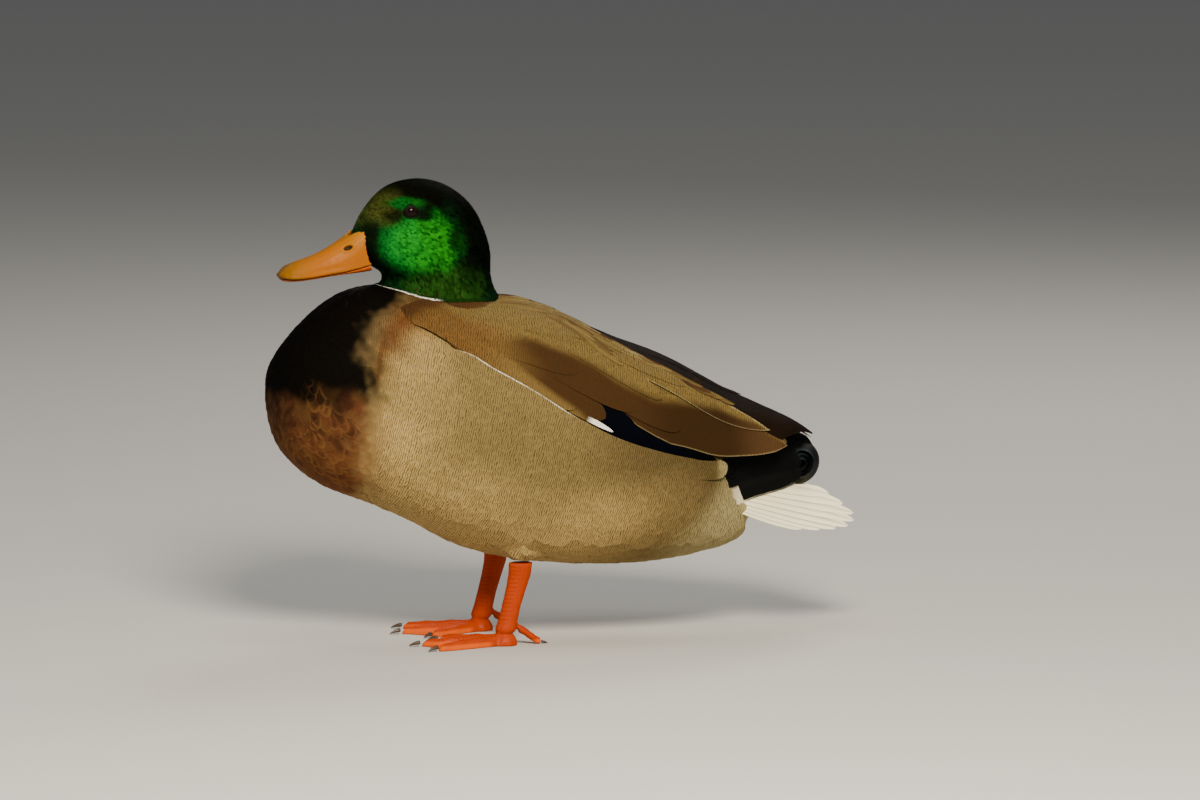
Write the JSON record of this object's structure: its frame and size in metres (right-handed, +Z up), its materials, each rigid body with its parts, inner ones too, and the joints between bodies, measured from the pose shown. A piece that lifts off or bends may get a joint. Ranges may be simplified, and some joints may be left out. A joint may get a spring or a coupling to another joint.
{
  "type": "mallard drake",
  "caption": "Still model of a drake mallard standing at rest: closed bill, neck drawn in, folded wings, tented tail with curled coverts and webbed feet flat on the floor",
  "frame": {"origin": "on the floor under the middle of the duck's length and width", "axes": "+Z up, -Y the way the duck faces, +X its left side"},
  "size_m": [0.1344, 0.342, 0.2653],
  "materials": {
    "head_plumage": "short glossy green feathers with a metallic sheen, near black on the crown",
    "collar_plumage": "narrow white ring of feathers",
    "breast_plumage": "dark chestnut feathers with pale edges low down",
    "flank_plumage": "grey-buff feathers with fine dark waves, cream on the belly",
    "wing_plumage": "grey-brown feathers with thin pale edges",
    "speculum": "blue-black glossy feathers with a white bar",
    "black_plumage": "glossy black feathers",
    "tail_plumage": "stiff white feathers with grey-brown centres",
    "bill": "smooth waxy yellow horn",
    "leg_skin": "orange scaly skin",
    "claw": "dark horn",
    "eye": "wet dark brown eye"
  },
  "bodies": {
    "root": {"bill_lower": "bill", "bill_upper": "bill", "breast": "breast_plumage", "claw_hind_left": "claw", "claw_hind_right": "claw", "claw_inner_left": "claw", "claw_inner_right": "claw", "claw_middle_left": "claw", "claw_middle_right": "claw", "claw_outer_left": "claw", "claw_outer_right": "claw", "collar": "collar_plumage", "eye_left": "eye", "eye_right": "eye", "foot_left": "leg_skin", "foot_right": "leg_skin", "hallux_left": "leg_skin", "hallux_right": "leg_skin", "head": "head_plumage", "neck": "head_plumage", "primaries_left": "wing_plumage", "primaries_right": "wing_plumage", "rump": "black_plumage", "scapulars_left": "wing_plumage", "scapulars_right": "wing_plumage", "secondaries_left": "speculum", "secondaries_right": "speculum", "tail_curl_left": "black_plumage", "tail_curl_right": "black_plumage", "tail_left": "tail_plumage", "tail_right": "tail_plumage", "tarsus_left": "leg_skin", "tarsus_right": "leg_skin", "tertials_left": "wing_plumage", "tertials_right": "wing_plumage", "thigh_left": "flank_plumage", "thigh_right": "flank_plumage", "trunk": "flank_plumage", "undertail": "black_plumage", "upper_wing_band_left": "wing_plumage", "upper_wing_band_right": "wing_plumage", "wing_coverts_left": "wing_plumage", "wing_coverts_right": "wing_plumage"}
  },
  "joints": []
}
